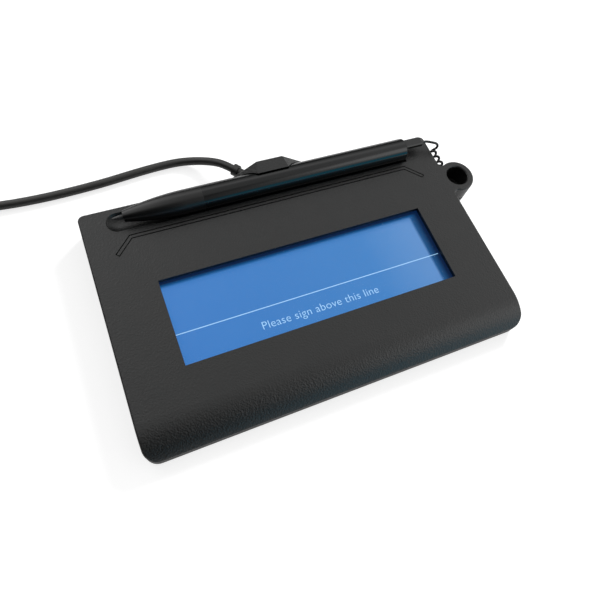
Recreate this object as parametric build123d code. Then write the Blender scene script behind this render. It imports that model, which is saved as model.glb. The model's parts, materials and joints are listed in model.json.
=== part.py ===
"""A desktop signature pad: a shallow plastic case with a backlit display, a pen in a trough
with a hump that holds it, a pen well, a curly tether and a USB lead that is put away in a coil.

Frame: +X to the pen well's side, +Y to the rear, +Z up, z = 0 on the desk. The pieces are
modelled about the case's centre and moved sideways at the end, so that the origin is under
the middle of the whole pad, its pen well included.
"""

from build123d import *
import math
import os

os.makedirs("parts", exist_ok=True)

# Case
case_width = 155.0
case_depth = 97.0
case_height = 11.0
foot_stand = 1.0
skirt_height = 2.6
cover_wall = 2.0
plate_wall = 1.8
floor_wall = 1.8
front_corner_radius = 4.8
rear_corner_radius = 2.5
roll_depth = 13.0
roll_drop = 6.4
edge_round = 0.8
parting_gap = 0.7
parting_depth = 0.8
overrun = 2.0
fit_gap = 0.1
screw_gap = 0.03
slot_width = 0.5

# Pen well
well_out = 5.6
well_from_rear = 25.0
well_radius = 7.8
well_bore = 4.9
well_web = 1.8
well_chamfer = 0.4

# Signing window and display
window_width = 112.4
window_x = 0.3
window_from_front = 26.97
window_from_rear = 35.63
window_margin = 3.2
tape_thick = 0.2
tape_inset = 0.5
lens_thick = 1.0
cell_thick = 1.9
cell_margin = 2.6
frame_wall = 1.8
pocket_gap = 0.2
guide_thick = 1.7
guide_margin = 1.4
strip_width = 1.2
reflector_thick = 0.2
ledge = 1.0
sensor_thick = 1.0
sensor_margin = 6.8
shield_thick = 0.3
shield_margin = 4.0
pad_side = 6.0

# Decorative groove
groove_band = 1.9
groove_width = 0.45
groove_depth = 0.6
groove_half = 60.5
groove_from_rear = 14.5
groove_end_half = 67.1
groove_end_from_rear = 21.2

# Pen and its trough
pen_radius = 4.8
pen_from_rear = 6.8
pen_axis_rise = 2.8
pen_gap = 0.3
lift_angle = 35.0
nib_tip_x = -65.0
nib_radius = 0.8
nib_tip_radius = 0.35
nib_cone = 2.5
nib_gap = 0.06
nib_press = 0.8
nose_tip_x = -61.0
nose_tip_radius = 2.2
nose_full_x = -37.0
barrel_start_x = -30.0
barrel_end_x = 60.5
barrel_wall = 1.0
spigot_length = 6.0
nose_bore = 2.6
nose_bore_x = -50.0
nib_rear_x = -35.2
switch_radius = 2.4
switch_face = 0.2
ferrite_radius = 1.7
ferrite_length = 12.0
winding_radius = 2.4
winding_length = 9.0
circuit_length = 46.0
circuit_width = 7.2
circuit_thick = 1.0
cap_length = 2.3
cap_chamfer = 0.9
lug_length = 9.7
lug_width = 4.2
lug_round = 1.5
lug_front_round = 0.8
lug_thick = 1.8
lug_chamfer = 0.4
lug_shift = 1.2
lug_rise = 1.3
trough_end_x = 63.4
trough_floor = 1.6
trough_margin = 2.2
trough_end_share = 0.33
ramp_start_x = -50.0
lift_room = 24.0

# Hump behind the pen
hump_half = 18.5
hump_depth = 5.6
hump_lip_rise = 8.2
hump_rear_rise = 8.9
hump_crown_half = 5.6
hump_shift = 0.5
hump_chamfer = 0.5

# Feet, bosses and screws
foot_radius = 4.5
foot_seat = 0.6
foot_inset_x = 15.5
foot_inset_y = 13.5
boss_radius = 3.0
boss_inset_x = 6.4
boss_inset_rear = 6.5
boss_inset_front = 8.5
screw_head_radius = 2.2
screw_head = 0.9
screw_head_depth = 1.1
screw_radius = 1.0
screw_length = 5.1
screw_tip_gap = 0.5
lip_thick = 1.0
lip_gap = 0.15
lip_height = 2.0
lip_clear = 0.4

# Controller board
board_x = -6.0
board_from_rear = 19.0
board_width = 72.0
board_depth = 15.0
board_thick = 1.0
board_stand = 1.6
board_hole_inset = 3.0
post_radius = 2.2
board_screw_radius = 0.8
board_screw_head = 1.6
board_screw_cap = 0.9
chip_side = 9.0
chip_thick = 1.2
chip_x = -20.0
crystal_width = 4.6
crystal_length = 10.6
crystal_height = 2.0
crystal_x = -12.0
display_plug_x = 14.0
display_plug_width = 20.0
sensor_plug_x = -31.0
sensor_plug_width = 9.0
plug_depth = 3.4
plug_height = 1.7
ribbon_thick = 0.2
ribbon_inset = 1.0
ribbon_lift = 0.5

# Cable gland and the leads inside
cable_x = -3.5
cable_rise = 5.5
cable_radius = 1.75
gland_radius = 2.2
gland_nose = 12.0
gland_turn = 40.0
gland_collar = 2.4
gland_collar_radius = 2.6
gland_flange_half = 3.2
gland_flange_rise = 1.5
gland_flange = 1.4
header_width = 7.4
header_depth = 3.4
header_height = 2.5
wire_radius = 0.4
wire_pitch = 1.4
wire_close_pitch = 0.85
wires = 4

# USB lead: its way over the desk, its coil and its plug
coil_x = -143.0
coil_from_rear = 4.5
coil_across_share = 12.0
coil_pitch = 4.0
coil_half_turns = (6, 6, 5, 4)
climb_share = 1.5
bend_share = 0.45
sample_share = 0.33
apart_share = 2.5
tie_thick = 0.6
tie_width = 8.0
tie_gap = 0.1
lead_in = 3.6
lead_out = 4.5
plug_body_width = 16.0
plug_body_height = 8.0
plug_body_length = 28.0
plug_round = 1.6
plug_neck_length = 8.0
plug_neck_radius = 3.2
shell_width = 12.0
shell_height = 4.5
shell_length = 18.7
shell_wall = 0.35
shell_hole = 2.3
shell_hole_y = 2.4
tongue_height = 1.9
tongue_short = 1.2
contact_width = 1.2
contact_thick = 0.15
contact_pitch = 2.3
contact_length = 9.0

# Curly tether
tether_radius = 0.55
tether_shift = 0.6
tether_drop = 0.3
loop_out = 0.7
loop_from_rear = 7.9
loop_drop = 0.1
loop_top_shares = (1.0, -0.3, -0.15)
loop_side_out = 2.9
loop_side_from_rear = 8.9
loop_side_rise = 1.7
loop_side_shares = (0.0, -0.15, -1.0)
curl_radius = 0.8
curl_out = 1.7
curl_drop = 1.0
curl_from_rear = 8.2
curl_pitch = 3.1
curl_quarters = 11
anchor_radius = 1.1
anchor_rise = 0.6
anchor_stem_radius = 0.7
anchor_stem = 2.4
anchor_from_rear = 14.9
anchor_drop = 4.2

# Levels and places that follow
base_z = foot_stand
floor_z = base_z + floor_wall
parting_z = base_z + skirt_height
plate_z = base_z + case_height
ceiling_z = plate_z - plate_wall
front_y = -case_depth / 2
rear_y = case_depth / 2
side_x = case_width / 2
well_x = side_x + well_out
well_y = rear_y - well_from_rear
window_depth = case_depth - window_from_front - window_from_rear
window_y = (window_from_front - window_from_rear) / 2
groove_y = rear_y - groove_from_rear
groove_end_y = rear_y - groove_end_from_rear
pen_axis_y = rear_y - pen_from_rear
hump_lip_y = rear_y - hump_depth
foot_x = side_x - foot_inset_x
foot_y = rear_y - foot_inset_y
board_y = rear_y - board_from_rear
coil_y = rear_y - coil_from_rear
anchor_y = rear_y - anchor_from_rear
roll_radius = (roll_depth**2 + roll_drop**2) / (2 * roll_drop)
roll_y = front_y + roll_depth
roll_centre_z = plate_z - roll_radius
pen_z = plate_z + pen_axis_rise
trough_radius = pen_radius + pen_gap
lens_top = ceiling_z - tape_thick
cell_top = lens_top - lens_thick
guide_top = cell_top - cell_thick
guide_bottom = guide_top - guide_thick
frame_bottom = guide_bottom - reflector_thick
sensor_bottom = frame_bottom - sensor_thick
shield_bottom = sensor_bottom - shield_thick
board_z = floor_z + board_stand
board_top = board_z + board_thick
cable_z = base_z + cable_rise
well_reach = well_out + well_radius
whole_shift = Pos(-well_reach / 2, 0, 0)


def save(name, shape):
    """Write one node, moved so that the origin is under the middle of the pad."""
    shape = whole_shift * shape
    shape.label = name
    export_step(shape, f"parts/{name}.step")


def group(solids):
    """Several separate solids as one node."""
    return Compound(children=list(solids))


def block(x, y, z, width, depth, height):
    """A box with its middle at x and y, standing on z."""
    return Pos(x, y, z) * Box(width, depth, height, align=(Align.CENTER, Align.CENTER, Align.MIN))


def post(x, y, z, radius, height):
    """An upright cylinder that stands on z."""
    return Pos(x, y, z) * Cylinder(radius, height, align=(Align.CENTER, Align.CENTER, Align.MIN))


def bar(x, y, z, radius, length):
    """A cylinder along +X that starts at x."""
    rod = Cylinder(radius, length, align=(Align.CENTER, Align.CENTER, Align.MIN))
    return Pos(x, y, z) * Rot(0, 90, 0) * rod


def across(face_points, start_x, width):
    """A prism along X over a polygon of (y, z) points."""
    points = [Vector(start_x, y, z) for y, z in face_points]
    face = make_face(Polyline(*points, close=True))
    return extrude(face, amount=width, dir=(1, 0, 0))


def turned(outline):
    """A solid of revolution about the pen's axis, from an outline in (x, radius)."""
    return Pos(0, pen_axis_y, pen_z) * revolve(make_face(outline), axis=Axis.X)


# Case


def case_outline(inset, with_well):
    """The plan of the case, inset by a wall, with the pen well's ring where it is asked for."""
    plan = Rectangle(case_width - 2 * inset, case_depth - 2 * inset)
    front = plan.vertices().filter_by(lambda v: v.Y < 0)
    plan = fillet(front, front_corner_radius - inset)
    rear = plan.vertices().filter_by(lambda v: v.Y > rear_y - inset - edge_round)
    plan = fillet(rear, max(rear_corner_radius - inset, rear_corner_radius / 4))
    if with_well:
        plan = plan + Pos(well_x, well_y) * Circle(well_radius)
        joins = plan.vertices().filter_by(
            lambda v: abs(v.X - side_x) < edge_round and abs(v.Y - well_y) < well_radius
        )
        plan = fillet(joins, well_web)
    return plan


def case_profile(roof):
    """A prism larger than the case whose top is the plate with its rolled front, less a roof."""
    reach = (roll_radius - roof + roll_depth) / 2
    rise = math.sqrt((roll_radius - roof) ** 2 - reach**2)
    start = Vector(0, roll_y, plate_z - roof)
    end = Vector(0, roll_y - reach, roll_centre_z + rise)
    roll = Edge.make_tangent_arc(start, Vector(0, -1, 0), end)
    rest = Polyline(
        end,
        Vector(0, end.Y, base_z - overrun),
        Vector(0, rear_y + overrun, base_z - overrun),
        Vector(0, rear_y + overrun, plate_z - roof),
        start,
    )
    face = make_face([roll, *rest.edges()])
    half = side_x + well_out + well_radius + overrun
    return Pos(-half, 0, 0) * extrude(face, amount=2 * half, dir=(1, 0, 0))


def pen_way():
    """The room that the pen takes in its trough and on its way out of it."""
    left = nib_tip_x - pen_gap + trough_radius * trough_end_share
    channel = bar(left, pen_axis_y, pen_z, trough_radius, trough_end_x - left)
    end = Pos(left, pen_axis_y, pen_z) * Sphere(trough_radius)
    slab = Box(
        trough_end_x - ramp_start_x,
        lift_room,
        2 * trough_radius,
        align=(Align.MIN, Align.MAX, Align.CENTER),
    )
    way = Pos(ramp_start_x, pen_axis_y, pen_z) * Rot(-lift_angle, 0, 0) * slab
    return channel + end + way


def hump():
    """The hump behind the pen, with slanted sides."""
    side = across(
        [
            (hump_lip_y, ceiling_z),
            (hump_lip_y, plate_z + hump_lip_rise),
            (rear_y, plate_z + hump_rear_rise),
            (rear_y, ceiling_z),
        ],
        hump_shift - hump_half,
        2 * hump_half,
    )
    slope = hump_rear_rise / (hump_half - hump_crown_half)
    low = plate_wall / slope
    front = [
        Vector(hump_shift - hump_half - low, rear_y, ceiling_z),
        Vector(hump_shift - hump_crown_half, rear_y, plate_z + hump_rear_rise),
        Vector(hump_shift + hump_crown_half, rear_y, plate_z + hump_rear_rise),
        Vector(hump_shift + hump_half + low, rear_y, ceiling_z),
    ]
    face = make_face(Polyline(*front, close=True))
    view = extrude(face, amount=rear_y - pen_axis_y, dir=(0, -1, 0))
    body = side & view
    rim = body.edges().filter_by(
        lambda e: e.center().Y > rear_y - hump_chamfer and e.center().Z > plate_z
    )
    return chamfer(rim, hump_chamfer)


def groove():
    """The thin line round a narrow band between the window and the trough, with slanted ends."""
    path = Polyline(
        (-groove_end_half, groove_end_y),
        (-groove_half, groove_y),
        (groove_half, groove_y),
        (groove_end_half, groove_end_y),
    )
    inset = groove_width / path.length
    band = trace(path, line_width=groove_band)
    core = trace(path.trim(inset, 1 - inset), line_width=groove_band - 2 * groove_width)
    line = band - core
    return Pos(0, 0, plate_z - groove_depth) * extrude(line, amount=groove_depth + overrun)


def boss_places():
    """The four case screws, over the case's corners."""
    x = side_x - boss_inset_x
    return [
        (sign * x, y)
        for sign in (-1, 1)
        for y in (front_y + boss_inset_front, rear_y - boss_inset_rear)
    ]


def parting_step():
    """The shadow line round the case where the covers meet."""
    plan = case_outline(0, True)
    inner = case_outline(parting_depth, False) + Pos(well_x, well_y) * Circle(
        well_radius - parting_depth
    )
    ring = plan - inner
    return Pos(0, 0, parting_z) * extrude(ring, amount=parting_gap)


def top_cover():
    plan = case_outline(0, True)
    outer = Pos(0, 0, parting_z) * extrude(plan, amount=plate_z - parting_z)
    outer = outer & case_profile(0)
    top = outer.faces().filter_by(lambda f: f.center().Z > parting_z + roll_drop / 2)
    plate = top.sort_by(lambda f: f.area)[-2:]
    shared = [e for e in plate[0].edges() if any(e.is_same(o) for o in plate[1].edges())]
    rims = [
        e
        for f in plate
        for e in f.edges()
        if not any(e.is_same(s) for s in shared)
    ]
    outer = fillet(rims, edge_round)
    cavity = Pos(0, 0, base_z) * extrude(case_outline(cover_wall, False), amount=case_height)
    cavity = cavity & case_profile(plate_wall)
    shell = outer - cavity
    ring = post(well_x, well_y, parting_z, well_radius, plate_wall + ceiling_z - parting_z)
    inside = ring & cavity
    liner = block(
        (nib_tip_x + trough_end_x) / 2,
        pen_axis_y,
        pen_z - trough_radius - trough_floor,
        trough_end_x - nib_tip_x + 2 * trough_margin,
        2 * trough_radius,
        ceiling_z - (pen_z - trough_radius - trough_floor),
    )
    shell = shell + inside + (liner & cavity) + hump()
    for x, y in boss_places():
        boss = post(x, y, floor_z, boss_radius, plate_z - floor_z) & cavity
        shell = shell + boss
    for x, y in boss_places():
        depth = screw_length + screw_tip_gap
        shell = shell - post(x, y, floor_z, screw_radius + screw_gap, depth)
    shell = shell - pen_way() - groove() - parting_step()
    window = block(window_x, window_y, ceiling_z, window_width, window_depth, plate_wall)
    shell = shell - window
    bore = post(well_x, well_y, parting_z, well_bore, plate_z - parting_z)
    mouth = Pos(well_x, well_y, plate_z - well_chamfer) * Cone(
        well_bore,
        well_bore + well_chamfer,
        well_chamfer,
        align=(Align.CENTER, Align.CENTER, Align.MIN),
    )
    shell = shell - bore - mouth
    gate = Pos(cable_x, rear_y - cover_wall, cable_z) * Rot(-90, 0, 0) * Cylinder(
        gland_radius + fit_gap, cover_wall, align=(Align.CENTER, Align.CENTER, Align.MIN)
    )
    return shell - gate - anchor_stem_bar(fit_gap)


def bottom_cover():
    plan = case_outline(0, True)
    tray = Pos(0, 0, base_z) * extrude(plan, amount=skirt_height)
    hollow = Pos(0, 0, floor_z) * extrude(case_outline(cover_wall, False), amount=skirt_height)
    well = post(well_x, well_y, floor_z, well_radius, parting_z - floor_z)
    tray = tray - (hollow - well)
    reach = cover_wall + lip_gap
    lip = case_outline(reach, False) - case_outline(reach + lip_thick, False)
    lip = Pos(0, 0, floor_z) * extrude(lip, amount=lip_height)
    lip = lip - post(well_x, well_y, floor_z, well_radius + lip_clear, lip_height)
    for x, y in boss_places():
        lip = lip - post(x, y, floor_z, boss_radius + lip_clear, lip_height)
    gland_room = 2 * (gland_flange_half + lip_clear)
    lip_depth = 2 * (reach + lip_thick) + overrun
    lip = lip - block(cable_x, rear_y, floor_z, gland_room, lip_depth, lip_height)
    tray = tray + lip
    for x, y in post_places():
        tray = tray + post(x, y, floor_z, post_radius, board_stand)
    for x, y in post_places():
        tray = tray - post(x, y, base_z + floor_wall / 2, board_screw_radius + screw_gap, board_z)
    for x, y in pad_places():
        tray = tray + block(x, y, floor_z, pad_side, pad_side, shield_bottom - floor_z)
    for x, y in boss_places():
        tray = tray - post(x, y, base_z, screw_head_radius + fit_gap, screw_head_depth)
        tray = tray - post(x, y, base_z, screw_radius + fit_gap, floor_wall)
    for x, y in foot_places():
        tray = tray - post(x, y, base_z, foot_radius + fit_gap, foot_seat)
    return tray


def foot_places():
    return [(sx * foot_x, sy * foot_y) for sx in (-1, 1) for sy in (-1, 1)]


def feet():
    return group(
        post(x, y, 0, foot_radius, foot_stand + foot_seat) for x, y in foot_places()
    )


def case_screws():
    made = []
    for x, y in boss_places():
        under = base_z + screw_head_depth
        head = post(x, y, under - screw_head, screw_head_radius, screw_head)
        shank = post(x, y, under, screw_radius, floor_z - under + screw_length)
        slot = block(x, y, under - screw_head, screw_head_radius, slot_width, screw_head / 2)
        cross = slot + Pos(x, y, 0) * Rot(0, 0, 90) * Pos(-x, -y, 0) * slot
        made.append(head + shank - cross)
    return group(made)


# Display


def window_plate(margin, z, thick):
    return block(
        window_x,
        window_y,
        z,
        window_width + 2 * margin,
        window_depth + 2 * margin,
        thick,
    )


def window_tape():
    outer = window_plate(window_margin, lens_top, tape_thick)
    return outer - window_plate(tape_inset, lens_top, tape_thick)


def display_frame():
    """The frame that carries the cell above and the light guide below its ledge."""
    outer = cell_margin + pocket_gap + frame_wall
    frame = window_plate(outer, frame_bottom, cell_top - frame_bottom)
    upper = window_plate(cell_margin + pocket_gap, guide_top, cell_thick)
    lower = window_plate(cell_margin - ledge, frame_bottom, guide_top - frame_bottom)
    slot = block(
        display_plug_x,
        window_y + window_depth / 2 + outer,
        guide_top,
        display_plug_width + ribbon_inset,
        2 * (frame_wall + pocket_gap),
        ribbon_lift + ribbon_thick,
    )
    return frame - upper - lower - slot


def light_guide():
    """The clear plate that spreads the lamps' light, with their room at its left edge."""
    depth = window_depth + 2 * guide_margin
    room = 2 * (strip_width + pocket_gap)
    guide = window_plate(guide_margin, guide_bottom, guide_thick)
    return guide - block(guide_left(), window_y, guide_bottom, room, depth, guide_thick)


def guide_left():
    return window_x - window_width / 2 - guide_margin


def led_strip():
    """The strip of lamps along the guide's left edge."""
    x = guide_left() + strip_width / 2
    depth = window_depth + 2 * guide_margin
    return block(x, window_y, guide_bottom, strip_width, depth, guide_thick)


def ribbon(width, x, points):
    """A flat flexible cable over (y, z) points of its underside."""
    upper = [(y, z + ribbon_thick) for y, z in reversed(points)]
    return across(points + upper, x - width / 2, width)


def display_ribbon():
    start = window_y + window_depth / 2 + cell_margin
    out = start + pocket_gap + frame_wall + ribbon_inset
    end = board_y - board_depth / 2 + ribbon_inset
    high = guide_top + ribbon_lift / 2
    low = board_top + plug_height / 2
    points = [(start, high), (out, high), (end - ribbon_inset, low), (end, low)]
    return ribbon(display_plug_width - 2 * ribbon_inset, display_plug_x, points)


def sensor_ribbon():
    edge = window_y + window_depth / 2 + sensor_margin
    end = board_y - board_depth / 2 + ribbon_inset
    low = board_top + plug_height / 2
    start = edge - 2 * ribbon_inset
    points = [
        (start, frame_bottom),
        (edge - ribbon_inset, frame_bottom),
        (edge + ribbon_inset / 2, low),
        (end, low),
    ]
    return ribbon(sensor_plug_width - 2 * ribbon_inset, sensor_plug_x, points)


# Controller board


def post_places():
    half_width = board_width / 2 - board_hole_inset
    half_depth = board_depth / 2 - board_hole_inset
    return [
        (board_x + sx * half_width, board_y + sy * half_depth)
        for sx in (-1, 1)
        for sy in (-1, 1)
    ]


def pad_places():
    """Where the floor holds the display stack up."""
    x = window_width / 2 - pad_side
    y = window_depth / 2 - pad_side / 2
    return [
        (window_x + sx * x, window_y + sy * y) for sx in (-1, 0, 1) for sy in (-1, 1)
    ]


def controller_board():
    board = block(board_x, board_y, board_z, board_width, board_depth, board_thick)
    for x, y in post_places():
        board = board - post(x, y, board_z, board_screw_radius + fit_gap, board_thick)
    return board


def board_screws():
    made = []
    for x, y in post_places():
        head = post(x, y, board_top, board_screw_head, board_screw_cap)
        bottom = base_z + floor_wall / 2 + fit_gap
        shank = post(x, y, bottom, board_screw_radius, board_top - bottom)
        slot = block(
            x,
            y,
            board_top + board_screw_cap / 2,
            board_screw_head,
            slot_width,
            board_screw_cap / 2,
        )
        made.append(head + shank - slot)
    return group(made)


def board_plug(x, width):
    """A ribbon connector at the board's front edge, with the slot that the ribbon enters."""
    front = board_y - board_depth / 2
    body = block(x, front + plug_depth / 2, board_top, width, plug_depth, plug_height)
    slot = block(
        x,
        front + ribbon_inset / 2,
        board_top + plug_height / 2,
        width - 2 * ribbon_inset,
        ribbon_inset,
        ribbon_thick,
    )
    return body - slot


def header_y():
    return board_y + board_depth / 2 - header_depth / 2


def wire_places():
    first = cable_x - wire_pitch * (wires - 1) / 2
    return [first + wire_pitch * i for i in range(wires)]


def wires_z():
    return board_top + header_height / 2


def usb_header():
    return block(cable_x, header_y(), board_top, header_width, header_depth, header_height)


def inner_wires():
    """The lead's wires, from the gland to the connector on the board."""
    start = header_y() + header_depth / 2
    end = rear_y - cover_wall - gland_flange
    made = []
    for x in wire_places():
        gland_side = cable_x + (x - cable_x) * wire_close_pitch / wire_pitch
        path = Polyline((x, start, wires_z()), (gland_side, end, cable_z))
        section = Plane(origin=path @ 0, z_dir=(0, 1, 0)) * Circle(wire_radius)
        far = Plane(origin=path @ 1, z_dir=(0, 1, 0)) * Circle(wire_radius)
        made.append(loft([section, far], ruled=True))
    return group(made)


def gland_way(along):
    """The place at this distance from the rear wall's face along the gland's slanted nose."""
    return Pos(cable_x, rear_y, cable_z) * Rot(0, 0, gland_turn) * Rot(-90, 0, 0) * Pos(0, 0, along)


def cable_gland():
    """The strain relief: a flange inside the rear wall, a neck, a slanted nose and its collar."""
    inner = rear_y - cover_wall
    turn = Pos(cable_x, inner, cable_z) * Rot(-90, 0, 0)
    low = (Align.CENTER, Align.CENTER, Align.MIN)
    flange = block(
        cable_x,
        inner - gland_flange / 2,
        cable_z - gland_flange_half,
        2 * gland_flange_half,
        gland_flange,
        gland_flange_half + gland_flange_rise,
    )
    neck = turn * Cylinder(gland_radius, cover_wall, align=low)
    back = gland_radius * math.tan(math.radians(gland_turn))
    nose = gland_way(-back) * Cone(
        gland_radius, cable_radius + fit_gap, gland_nose + back, align=low
    )
    outside = Pos(cable_x, rear_y, cable_z) * Box(
        3 * gland_nose,
        3 * gland_nose,
        3 * gland_nose,
        align=(Align.CENTER, Align.MIN, Align.CENTER),
    )
    collar = gland_way(gland_nose - gland_collar) * Cylinder(
        gland_collar_radius, gland_collar, align=low
    )
    return flange + neck + (nose & outside) + collar


# Pen


def pen_nib():
    """The plastic tip and its stem, which presses the switch behind it."""
    outline = Polyline(
        (nib_tip_x, 0),
        (nib_tip_x, nib_tip_radius),
        (nib_tip_x + nib_cone, nib_radius),
        (nib_rear_x, nib_radius),
        (nib_rear_x, 0),
        close=True,
    )
    return turned(outline)


def pen_nose():
    start = (nose_full_x, pen_radius)
    curve = Edge.make_tangent_arc(
        Vector(*start, 0), Vector(-1, 0, 0), Vector(nose_tip_x, nose_tip_radius, 0)
    )
    spigot = pen_radius - barrel_wall - fit_gap / 2
    rest = Polyline(
        (nose_tip_x, nose_tip_radius),
        (nose_tip_x, nib_radius + nib_gap),
        (nose_bore_x, nib_radius + nib_gap),
        (nose_bore_x, nose_bore),
        (barrel_start_x + spigot_length, nose_bore),
        (barrel_start_x + spigot_length, spigot),
        (barrel_start_x, spigot),
        (barrel_start_x, pen_radius),
        start,
    )
    return turned([curve, *rest.edges()])


def pen_barrel():
    tube = bar(barrel_start_x, pen_axis_y, pen_z, pen_radius, barrel_end_x - barrel_start_x)
    bore = bar(
        barrel_start_x,
        pen_axis_y,
        pen_z,
        pen_radius - barrel_wall,
        barrel_end_x - barrel_start_x,
    )
    return tube - bore


def pen_tail_cap():
    """The plug in the barrel's end, with the lug that the tether leaves."""
    spigot = pen_radius - barrel_wall - fit_gap / 2
    end = barrel_end_x + cap_length
    outline = Polyline(
        (barrel_end_x - spigot_length, 0),
        (barrel_end_x - spigot_length, spigot),
        (barrel_end_x, spigot),
        (barrel_end_x, pen_radius),
        (end - cap_chamfer, pen_radius),
        (end, pen_radius - cap_chamfer),
        (end, 0),
        close=True,
    )
    flat = Rectangle(lug_length, lug_width, align=(Align.MIN, Align.CENTER))
    tips = flat.vertices().filter_by(lambda v: v.X > lug_length / 2).sort_by(Axis.Y)
    flat = fillet(tips[1:], lug_round)
    front = flat.vertices().filter_by(lambda v: v.X > lug_length / 2).sort_by(Axis.Y)
    flat = fillet(front[:1], lug_front_round)
    lug = Pos(end, pen_axis_y + lug_shift, pen_z + lug_rise - lug_thick / 2) * extrude(
        flat, amount=lug_thick
    )
    rim = lug.faces().sort_by(Axis.Z)[-1].edges().sort_by(Axis.X)
    return turned(outline) + chamfer(rim[1:], lug_chamfer)


def ferrite_core():
    start = nose_bore_x + fit_gap
    rod = bar(start, pen_axis_y, pen_z, ferrite_radius, ferrite_length)
    return rod - bar(start, pen_axis_y, pen_z, nib_radius + fit_gap, ferrite_length)


def sensing_coil():
    start = nose_bore_x + fit_gap + (ferrite_length - winding_length) / 2
    inside = ferrite_radius + fit_gap / 2
    tube = bar(start, pen_axis_y, pen_z, winding_radius, winding_length)
    return tube - bar(start, pen_axis_y, pen_z, inside, winding_length)


def switch_start():
    return nib_rear_x + nib_press + switch_face


def tip_switch():
    length = barrel_start_x + spigot_length - switch_start()
    return bar(switch_start(), pen_axis_y, pen_z, switch_radius, length)


def pen_circuit():
    start = barrel_start_x + spigot_length
    return block(
        start + circuit_length / 2,
        pen_axis_y,
        pen_z - circuit_thick / 2,
        circuit_length,
        circuit_width,
        circuit_thick,
    )


# Wound tubes


def biarc(start, start_way, end, end_way):
    """Two arcs from start to end that leave and arrive along the given directions."""
    chord = end - start
    both = start_way + end_way
    a = 2 * (start_way.dot(end_way) - 1)
    b = -2 * chord.dot(both)
    c = chord.dot(chord)
    reach = -c / b if abs(a) < 1e-9 else (-b - math.sqrt(b * b - 4 * a * c)) / (2 * a)
    middle = (start + end + (start_way - end_way) * reach) / 2
    middle_way = (end - end_way * reach) - (start + start_way * reach)
    return [
        Edge.make_tangent_arc(start, start_way, middle),
        Edge.make_tangent_arc(middle, middle_way.normalized(), end),
    ]


def wound(stations):
    """Edges through a list of (place, direction) stations, a biarc between each two."""
    edges = []
    for (start, way), (end, end_way) in zip(stations, stations[1:]):
        edges += biarc(start, way, end, end_way)
    return edges


def tube(edges, radius):
    path = Wire(edges)
    section = Plane(origin=path @ 0, z_dir=path % 0) * Circle(radius)
    solid = sweep(section, path=path)
    expected = math.pi * radius**2 * path.length
    print(f"tube {path.length:.1f} mm long, volume {solid.volume / expected:.5f} of its section")
    return solid


def least_gap(edges, diameter, name):
    """The least distance between a wound tube and itself, measured on points of its line."""
    path = Wire(edges)
    count = int(path.length / (diameter * sample_share))
    points = [path.position_at(i / count) for i in range(count + 1)]
    apart = math.ceil(apart_share * diameter / (path.length / count))
    least = min(
        (points[i] - points[j]).length
        for i in range(len(points))
        for j in range(i + apart, len(points))
    )
    print(f"{name}: least gap to itself {least - diameter:.2f} mm")


# Tether


def tether_start():
    """Where the cord leaves the lug's end."""
    return Vector(
        barrel_end_x + cap_length + lug_length,
        pen_axis_y + lug_shift - tether_shift,
        pen_z + lug_rise - tether_drop,
    )


def tether_end():
    """Where the cord meets its plug, beside the case's right edge."""
    return Vector(side_x + anchor_rise, anchor_y, plate_z - anchor_drop)


def tether_edges():
    """Straight out of the lug, one wide loop, curls beside the case's edge, and into the plug."""
    start, end = tether_start(), tether_end()
    straight = Vector(2 * tether_radius, 0, 0)
    top = Vector(side_x + loop_out, rear_y - loop_from_rear, start.Z - loop_drop)
    side = Vector(side_x + loop_side_out, rear_y - loop_side_from_rear, plate_z + loop_side_rise)
    stations = [
        (start + straight, Vector(1, 0, 0)),
        (top, Vector(*loop_top_shares).normalized()),
        (side, Vector(*loop_side_shares).normalized()),
    ]
    along = curl_radius * math.pi / 2
    for quarter in range(curl_quarters + 1):
        turn = math.radians(90 * quarter)
        place = Vector(
            side_x + curl_out - curl_radius * math.sin(turn),
            rear_y - curl_from_rear - curl_pitch * quarter / 4,
            plate_z - curl_drop - curl_radius * math.cos(turn),
        )
        way = Vector(-along * math.cos(turn), -curl_pitch / 4, along * math.sin(turn))
        stations.append((place, way.normalized()))
    stations.append((end + straight, Vector(-1, 0, 0)))
    return [
        Edge.make_line(start, start + straight),
        *wound(stations),
        Edge.make_line(end + straight, end),
    ]


def anchor_stem_bar(gap):
    """The plug's stem in the case's side wall, or with a gap the hole for it."""
    return bar(
        side_x - anchor_stem, anchor_y, tether_end().Z, anchor_stem_radius + gap, anchor_stem
    )


def tether_anchor():
    """The plug in the case's side that holds the tether's end."""
    head = bar(side_x, anchor_y, tether_end().Z, anchor_radius, anchor_rise)
    return head + anchor_stem_bar(0)


# USB lead

# The way over the desk, from the run behind the gland to the coil's first turn: x, y behind
# the case, z.
route = [
    (-18.0, 16.0, 5.6),
    (-23.5, 19.9, 3.4),
    (-30.0, 22.3, 2.1),
    (-36.5, 22.9, 1.75),
    (-48.0, 22.3, 1.75),
    (-68.0, 20.1, 1.75),
    (-94.0, 19.4, 1.75),
    (-116.0, 21.5, 2.0),
    (-130.5, 22.5, 2.45),
]

# The way from the coil down to the plug: outward, forward and down from the coil's end.
tail_steps = [
    (0.0, 0.0, 0.0),
    (0.0, 10.5, 0.0),
    (1.0, 22.0, 5.0),
    (1.6, 33.5, 10.45),
    (1.6, 44.0, 10.45),
]


def coil_radius():
    """The first turn's radius, so that the middle of the turns is as far across as it should be."""
    middle = coil_across_share * 2 * cable_radius / 2
    return middle + max(coil_half_turns) * coil_pitch / 4


def coil_base():
    return tie_thick + tie_gap + cable_radius


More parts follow.
